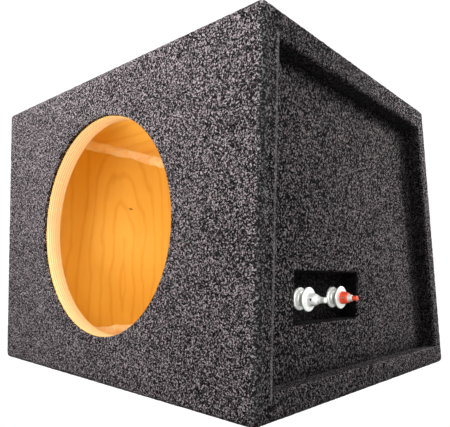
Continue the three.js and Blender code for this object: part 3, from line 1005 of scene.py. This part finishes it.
def make_corner_bead(corner, leg, name, cad_node):
    corners = wedge(WALL + 0.1 * MM)
    here = Vector((0, *corners[corner]))
    first = (Vector((0, *corners[(corner + 1) % 4])) - here).normalized()
    second = (Vector((0, *corners[(corner + 3) % 4])) - here).normalized()
    reach = SIDE_INNER - 3 * MM
    steps = 90
    verts = []
    for step in range(steps + 1):
        x = reach * (2 * step / steps - 1)
        origin = Vector((x, here.y, here.z))
        seed = origin + Vector((0, 2, 0))
        leg_a = leg * uneven(seed, 0.3, 30 * MM)
        leg_b = leg * uneven(seed + Vector((0, 0, 1)), 0.3, 30 * MM)
        verts.extend(fillet(first, second, origin, leg_a, leg_b) + [origin])
    columns = len(verts) // (steps + 1)
    faces = grid_faces(steps + 1, columns, closed_columns=True)
    faces.append(tuple(range(columns)))
    faces.append(tuple(steps * columns + index for index in reversed(range(columns))))
    obj = new_piece(name, verts, faces, SEALANT_FINISH, 50)
    turn_outward(obj)
    settle(obj, BASE_BODY, "sealant", cad_node)


def make_sealant():
    make_side_bead(-1, "left_sealant", "left_seam_bead")
    make_side_bead(1, "right_sealant", "right_seam_bead")
    make_corner_bead(0, 14 * MM, "front_bottom_sealant", "front_bottom_bead")
    make_corner_bead(1, 14 * MM, "back_bottom_sealant", "back_bottom_bead")
    make_corner_bead(2, 10 * MM, "back_top_sealant", "back_top_bead")
    make_corner_bead(3, 10 * MM, "front_top_sealant", "front_top_bead")


# ------------------------------------------------------------------ turned parts

# A profile is a closed list of (radius, height) in millimetres; height grows out of the box along +X.


def eased(profile, radius):
    """The profile with each corner eased by up to the radius."""
    out = []
    count = len(profile)
    for index in range(count):
        here = Vector(profile[index])
        before = Vector(profile[index - 1])
        after = Vector(profile[(index + 1) % count])
        to_before = before - here
        to_after = after - here
        if here.x < 1e-6 or to_before.length < 1e-6 or to_after.length < 1e-6:
            out.append(here)
            continue
        if to_before.angle(to_after) > math.radians(165):
            out.append(here)
            continue
        a = here + to_before * min(radius / to_before.length, 0.42)
        b = here + to_after * min(radius / to_after.length, 0.42)
        for step in range(4):
            t = step / 3
            out.append(a * (1 - t) ** 2 + here * (2 * t * (1 - t)) + b * t**2)
    return out


def lathe(name, profile, centre, material, segments=72, ease=0.25, ripple=None):
    """Turned solid about the line through centre along X."""
    points = eased(profile, ease) if ease else [Vector(p) for p in profile]
    verts = []
    for point in points:
        for step in range(segments):
            angle = 2 * math.pi * step / segments
            radius = point.x
            if ripple is not None:
                radius = ripple(radius, point.y, angle)
            offset = Vector((point.y, radius * math.cos(angle), radius * math.sin(angle)))
            verts.append(centre + offset * MM)
    faces = grid_faces(len(points), segments, closed_columns=True, closed_rows=True)
    obj = mesh_object(name, verts, faces)
    obj.data.materials.append(material)
    work = bmesh.new()
    work.from_mesh(obj.data)
    bmesh.ops.remove_doubles(work, verts=work.verts, dist=1e-7)
    bmesh.ops.dissolve_degenerate(work, dist=1e-8, edges=work.edges)
    bmesh.ops.recalc_face_normals(work, faces=work.faces)
    work.to_mesh(obj.data)
    work.free()
    smooth(obj)
    return obj


def rod(centre, axis, radius, length, segments=28):
    """A plain cutter along X or Y."""
    verts = []
    for end in (-0.5, 0.5):
        for step in range(segments):
            angle = 2 * math.pi * step / segments
            side = radius * math.cos(angle)
            other = radius * math.sin(angle)
            if axis == "y":
                offset = Vector((side, end * length, other))
            else:
                offset = Vector((end * length, side, other))
            verts.append(centre + offset * MM)
    faces = [tuple(range(segments)), tuple(range(segments, 2 * segments))]
    faces += grid_faces(2, segments, closed_columns=True)
    obj = new_piece("cutter", verts, faces, NICKEL)
    turn_outward(obj)
    return obj


# the posts, in millimetres: heights above the pocket's floor, and outlines as (radius, height)
SEAT_TOP = 5.0
HORN_ROOT = 13.9
WIRE_HOLE = 17.3
SHAFT_END = 25.5
HORN = [(5.6, HORN_ROOT), (5.0, 15.5), (4.6, WIRE_HOLE), (4.2, 19.5), (3.9, 21.5), (3.5, 23.5)]
HORN += [(3.2, SHAFT_END)]
FLARE = [(6.9, HORN_ROOT), (6.6, 15.5), (6.2, WIRE_HOLE), (5.7, 19.5), (4.9, 21.5)]


def threaded_profile():
    """Threaded shank inside the box, then the plain shaft and its stub."""
    profile = [(0, -30), (2.2, -30)]
    steps = 6
    pitch = 1.0
    turns = 29
    for step in range(turns * steps + 1):
        profile.append((2.9, -29.4 + step * pitch / steps))
    profile += [(2.9, 0), (2.4, 0), (2.4, SHAFT_END), (1.6, SHAFT_END), (1.6, 29.5), (0, 29.5)]
    return profile


def thread_ripple(radius, height, angle):
    if radius < 2.85 or height > -0.3:
        return radius
    phase = (height - angle / (2 * math.pi)) % 1.0
    return radius - 0.55 * (1 - abs(2 * phase - 1))


def make_spring(name, centre):
    """Coil of round wire with its end turns closed up."""
    wire = 0.3
    mean = 3.0
    low = SEAT_TOP + 0.3 + wire
    high = HORN_ROOT - 0.3 - wire
    turns = 6.5
    steps = 200
    ring = 8
    verts = []
    for step in range(steps + 1):
        t = step / steps
        closed = 1.0
        squeeze = min(1.0, max(0.0, (t * turns - closed) / (turns - 2 * closed)))
        height = low + (high - low) * (0.12 * t + 0.88 * squeeze)
        angle = 2 * math.pi * turns * t
        out = Vector((0, math.cos(angle), math.sin(angle)))
        for part in range(ring):
            turn = 2 * math.pi * part / ring
            round_wire = out * math.cos(turn) + Vector((1, 0, 0)) * math.sin(turn)
            verts.append(centre + (Vector((height, 0, 0)) + out * mean + round_wire * wire) * MM)
    faces = grid_faces(steps + 1, ring, closed_columns=True)
    faces.append(tuple(range(ring)))
    faces.append(tuple(steps * ring + index for index in range(ring)))
    obj = new_piece(name, verts, faces, SPRING_STEEL, 60)
    turn_outward(obj)
    return obj


def make_post(name, centre, positive):
    body = f"{name}_collar"
    shaft = lathe(f"{name}_shaft", threaded_profile(), centre, NICKEL, 48, 0, thread_ripple)
    cut_with(shaft, rod(centre + Vector((12.8, 0, 0)) * MM, "y", 1.2, 12))
    smooth(shaft)
    settle(shaft, BASE_BODY, "nickel_plate", f"{name}_post_shaft")

    profile = [
        (2.7, 0.3), (10.4, 0.3), (11.3, 1.1), (11.3, 2.9), (10.4, 3.7),
        (7.4, 3.8), (6.6, 4.2), (6.3, SEAT_TOP), (2.7, SEAT_TOP),
    ]
    base = lathe(f"{name}_seat_collar", profile, centre, NICKEL, 96, 0.5)
    settle(base, BASE_BODY, "nickel_plate", f"{name}_base_collar")

    horn = HORN if positive else FLARE + HORN[len(FLARE) :]
    profile = [(3.7, 10.8), (11.2, 10.8), (11.8, 11.4), (11.8, 12.5), (11.0, 13.2)]
    profile += [(horn[0][0] + 0.8, 13.4)] + horn + [(2.7, SHAFT_END), (2.7, 20.5), (3.7, 20.5)]
    push = lathe(f"{name}_pusher", profile, centre, NICKEL, 96, 0.3)
    hole = centre + Vector((WIRE_HOLE, 0, 0)) * MM
    cut_with(push, rod(hole, "y", 1.5, 30))
    smooth(push)
    settle(push, body, "nickel_plate", f"{name}_push_collar")

    profile = [(2.7, 14.2), (3.4, 14.2), (3.4, 20.2), (2.7, 20.2)]
    liner = lathe(f"{name}_bush", profile, centre, BLACK_PLASTIC, 48, 0.1)
    cut_with(liner, rod(hole, "y", 1.2, 30))
    smooth(liner)
    settle(liner, body, "black_plastic", f"{name}_collar_liner")

    if positive:
        inside = [(radius + 0.3, height) for radius, height in HORN[: len(FLARE)]]
        sleeve = lathe(f"{name}_sleeve", inside[::-1] + FLARE, centre, RED_PLASTIC, 96, 0.35)
        cut_with(sleeve, rod(hole, "y", 1.5, 30))
        smooth(sleeve)
        settle(sleeve, body, "red_plastic", f"{name}_collar_sleeve")

    tip_finish = RED_PLASTIC if positive else NICKEL
    profile = [(1.9, 25.8), (2.8, 25.8), (2.8, 30.4), (2.1, 31.2), (0, 31.2), (0, 29.8), (1.9, 29.8)]
    tip = lathe(f"{name}_cap", profile, centre, tip_finish, 64, 0.3)
    settle(tip, BASE_BODY, "red_plastic" if positive else "nickel_plate", f"{name}_post_tip")

    spring = make_spring(f"{name}_spring", centre)
    settle(spring, BASE_BODY, "spring_steel", f"{name}_collar_spring")
    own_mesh(spring)
    make_hardware(name, centre)


def make_hardware(name, centre):
    """Washer, solder lug, spring washer and nut on the shank inside the box."""
    top = -15.3
    low = top - 1.2
    profile = [(3.2, low), (7.0, low), (7.0, top), (3.2, top)]
    washer = lathe(f"{name}_washer", profile, centre, ZINC, 64, 0.2)
    settle(washer, BASE_BODY, "zinc_steel", f"{name}_flat_washer")

    top = low - 0.3
    low = top - 0.8
    lug = make_lug(f"{name}_lug", centre, low, top)
    settle(lug, BASE_BODY, "nickel_plate", f"{name}_solder_lug")

    top = low - 0.3
    low = top - 1.2
    profile = [(3.2, low), (5.2, low), (5.2, top), (3.2, top)]
    split = lathe(f"{name}_split_washer", profile, centre, ZINC, 64, 0.15)
    cutter = box_cutter(-0.002, 0.002, -0.0004, 0.0004, -0.003, 0.003)
    middle = centre + Vector(((low + top) / 2, 0, -4.2)) * MM
    cutter.data.transform(Matrix.Translation(middle) @ Matrix.Rotation(math.radians(36), 4, "Z"))
    cut_with(split, cutter)
    smooth(split)
    settle(split, BASE_BODY, "zinc_steel", f"{name}_lock_washer")

    top = low - 0.3
    low = top - 4.6
    nut = make_nut(f"{name}_hex_nut", centre, low, top)
    settle(nut, BASE_BODY, "zinc_steel", f"{name}_nut")


def make_lug(name, centre, low, top):
    """Ring tag with a tongue and an eye for the lead."""
    outline = []
    for step in range(33):
        angle = math.radians(110 + 320 * step / 32)
        outline.append((5.6 * math.cos(angle), 5.6 * math.sin(angle)))
    outline += [(2.0, 6.4), (2.0, 13.4)]
    for step in range(7):
        angle = math.radians(180 * step / 6)
        outline.append((2.0 * math.cos(angle), 13.4 + 1.6 * math.sin(angle)))
    outline.append((-2.0, 6.4))
    count = len(outline)
    verts = []
    for height in (low, top):
        verts += [centre + Vector((height, -p[0], p[1])) * MM for p in outline]
    faces = [tuple(range(count)), tuple(range(count, 2 * count))]
    faces += grid_faces(2, count, closed_columns=True)
    obj = new_piece(name, verts, faces, NICKEL)
    turn_outward(obj)
    middle = (low + top) / 2
    cut_with(
        obj,
        rod(centre + Vector((middle, 0, 0)) * MM, "x", 3.2, 6, 40),
        rod(centre + Vector((middle, 0, 12.5)) * MM, "x", 0.9, 6),
    )
    bevel(obj, 0.12 * MM, 50)
    return obj


def make_nut(name, centre, low, top):
    """Hexagon nut with both faces chamfered round and a plain bore."""

    def flats(radius, height, angle):
        if radius < 4:
            return radius
        flat = 5.0 / math.cos((angle + math.pi / 6) % (math.pi / 3) - math.pi / 6)
        return min(radius, flat)

    profile = [(3.2, low + 0.4), (3.6, low), (4.95, low), (5.35, low + 0.25), (5.8, low + 0.75)]
    profile += [(5.8, top - 0.75), (5.35, top - 0.25), (4.95, top), (3.6, top), (3.2, top - 0.4)]
    return lathe(name, profile, centre, ZINC, 96, 0.0, flats)


def make_screws():
    """Pan-head wood screws through the terminal board, driven from inside the box."""
    for index in range(1, 5):
        cad_node = f"board_screw_{index}"
        low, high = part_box(cad_node)
        under_head = low.x / MM + 2.2
        length = high.x / MM - under_head
        centre = Vector((0, (low.y + high.y) / 2, (low.z + high.z) / 2))
        start = under_head
        profile = [(0, start - 2.2), (1.8, start - 2.2), (2.9, start - 1.7)]
        profile += [(3.6, start - 0.8), (3.6, start)]
        pitch = 1.4
        steps = 8
        turns = int((length - 3) / pitch)
        for step in range(turns * steps + 1):
            profile.append((1.75, start + 1 + step * pitch / steps))
        profile.append((0, start + length))

        def ripple(radius, height, angle, start=start, pitch=pitch):
            if height < start + 0.5 or radius > 2:
                return radius
            phase = ((height - start) / pitch - angle / (2 * math.pi)) % 1.0
            return radius - 0.6 * min(1.0, abs(2 * phase - 1) * 2.2)

        screw = lathe(f"board_fixing_{index}", profile, centre, ZINC, 32, 0.0, ripple)
        face = (start - 2.2) * MM
        for along_y in (True, False):
            wide = 2.3 * MM if along_y else 0.45 * MM
            tall = 0.45 * MM if along_y else 2.3 * MM
            cutter = box_cutter(
                face - 1 * MM,
                face + 1.4 * MM,
                centre.y - wide,
                centre.y + wide,
                centre.z - tall,
                centre.z + tall,
            )
            cut_with(screw, cutter)
        smooth(screw)
        settle(screw, BASE_BODY, "zinc_steel", cad_node)


# ------------------------------------------------------------------ the whole object

make_wrap()
make_side_carpet(-1, "left_carpet", "carpet_left_side")
make_side_carpet(1, "right_carpet", "carpet_right_side")
make_pocket_lining()
make_baffle()
make_panels()
make_sealant()
for post_name in ("negative", "positive"):
    box_low, box_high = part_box(f"{post_name}_base_collar")
    post_centre = (box_low + box_high) / 2
    post_centre.x = POCKET_FLOOR
    make_post(post_name, post_centre, post_name == "positive")
make_screws()


# ------------------------------------------------------------------ studio


def glow_material(name, strength):
    material = bpy.data.materials.new(name)
    material.use_nodes = True
    tree = material.node_tree
    tree.nodes.clear()
    glow = node(tree, "ShaderNodeEmission", {"Color": (1, 1, 1, 1), "Strength": strength})
    out = node(tree, "ShaderNodeOutputMaterial")
    feed(tree, out, {"Surface": glow.outputs[0]})
    return material


def studio():
    """White sweep: a flat floor that rises into a dome far behind, plain in every direction."""
    floor = -1.5 * MM
    steps = 48
    floor_radius = 12.0
    verts = [Vector((0, 0, floor))]
    rings = [(floor_radius, floor)]
    for step in range(1, 13):
        angle = step / 12 * math.pi / 2
        rings.append((floor_radius * math.cos(angle), floor_radius * math.sin(angle)))
    for radius, height in rings[:-1]:
        for step in range(steps):
            angle = 2 * math.pi * step / steps
            verts.append(Vector((radius * math.cos(angle), radius * math.sin(angle), height)))
    verts.append(Vector((0, 0, floor_radius)))
    faces = [(0, 1 + step, 1 + (step + 1) % steps) for step in range(steps)]
    faces += grid_faces(len(rings) - 1, steps, closed_columns=True, first=1)
    last = 1 + (len(rings) - 2) * steps
    for step in range(steps):
        faces.append((last + step, last + (step + 1) % steps, len(verts) - 1))
    obj = mesh_object("studio_sweep", verts, faces)
    obj.data.materials.append(glow_material("white_sweep", 1.05))
    obj.location.z = -0.6 * MM  # with the floor's own height, clear of the pile under the box
    obj.visible_diffuse = False
    obj.visible_shadow = False


def area_light(name, place_at, aim, size, power):
    data = bpy.data.lights.new(name, "AREA")
    data.shape = "RECTANGLE"
    data.size, data.size_y = size
    data.energy = power
    obj = add_object(name, data)
    obj.location = place_at
    obj.rotation_euler = (Vector(aim) - Vector(place_at)).to_track_quat("-Z", "Y").to_euler()
    obj.visible_camera = False
    return obj


def around(azimuth, elevation, distance):
    a = math.radians(azimuth)
    e = math.radians(elevation)
    level = distance * math.cos(e)
    return Vector((level * math.sin(a), -level * math.cos(a), distance * math.sin(e)))


def light():
    world = bpy.data.worlds.new("studio_world")
    bpy.context.scene.world = world
    world.use_nodes = True
    background = world.node_tree.nodes["Background"]
    background.inputs["Color"].default_value = (1.0, 1.0, 1.0, 1)
    background.inputs["Strength"].default_value = 0.09
    area_light("key", (-0.04, -0.68, 0.57), (0, -0.2, 0.17), (0.3, 0.3), 5.6)
    area_light("rear_key", (0.44, 0.52, 0.54), (0.2, 0.0, 0.15), (0.22, 0.22), 4.1)
    area_light("top_soft", (0.0, 0.3, 1.6), (0, 0, 0.2), (1.2, 1.2), 3)
    birch = with_slots("birch_plywood")
    ring = [piece for piece in birch if piece.name == "baffle_sheet"]
    inside = [piece for piece in birch if piece not in ring]
    sealant = with_slots("sealant")
    area_light("edge_fill", (0.75, -0.55, 0.5), (0.2, -0.2, 0.2), (0.3, 0.3), 0.9)
    area_light("left_fill", (-0.95, 0.25, 0.6), (-0.2, 0.0, 0.15), (0.4, 0.4), 4)
    posts = with_slots("nickel_plate", "red_plastic", "black_plastic", "spring_steel")
    middle = Vector((0, 0, 0.17))
    frontal = area_light("frontal", around(36, 19, 2.4) + middle, (0, 0, 0.16), (0.4, 0.4), 9)
    only_for(frontal, inside + sealant)
    low_front = area_light("low_front", (0.15, -0.70, 0.03), (0, -0.1, 0.25), (0.3, 0.3), 5.2)
    only_for(low_front, birch + sealant)
    glint = area_light("post_glint", (0.62, -0.50, 0.22), POCKET_CENTRE, (0.5, 0.3), 4.6)
    only_for(glint, posts)
    inner_bulb("warm_bounce", 0.18, (1.0, 0.48, 0.02), inside)
    inner_bulb("pale_bounce", 0.46, (1.0, 0.76, 0.48), sealant + ring)


def inner_bulb(name, power, color, pieces):
    """Light that has bounced about inside the box."""
    bulb = bpy.data.lights.new(name, "POINT")
    bulb.energy = power
    bulb.color = color
    bulb.shadow_soft_size = 0.05
    inner = add_object(name, bulb)
    inner.location = (0.05, -0.01, 0.11)
    only_for(inner, pieces)
    inner.visible_camera = False
    inner.visible_glossy = False


def with_slots(*slots):
    return [obj for obj in bpy.data.objects if obj.get("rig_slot") in slots]


def only_for(lamp, pieces):
    """The lamp lights these pieces alone."""
    group = bpy.data.collections.new(f"{lamp.name}_receivers")
    for piece in pieces:
        group.objects.link(piece)
    lamp.light_linking.receiver_collection = group


def camera():
    back = around(42.110, 0.142, 1)
    roll = math.radians(1.129)
    stand = Vector((0.4416, -0.4999, 0.1187))
    right = (-back).cross(Vector((0, 0, 1))).normalized()
    up = right.cross(-back)
    tilted_right = right * math.cos(roll) + up * math.sin(roll)
    tilted_up = up * math.cos(roll) - right * math.sin(roll)
    data = bpy.data.cameras.new("camera")
    data.lens = 38.055
    data.sensor_width = 36
    data.shift_y = 0.1367
    data.clip_start = 0.01
    obj = add_object("camera", data)
    turned = Matrix((tilted_right, tilted_up, back)).transposed().to_4x4()
    obj.matrix_world = Matrix.Translation(stand) @ turned
    bpy.context.scene.camera = obj


studio()
light()
camera()
bpy.context.scene.view_settings.view_transform = "Standard"
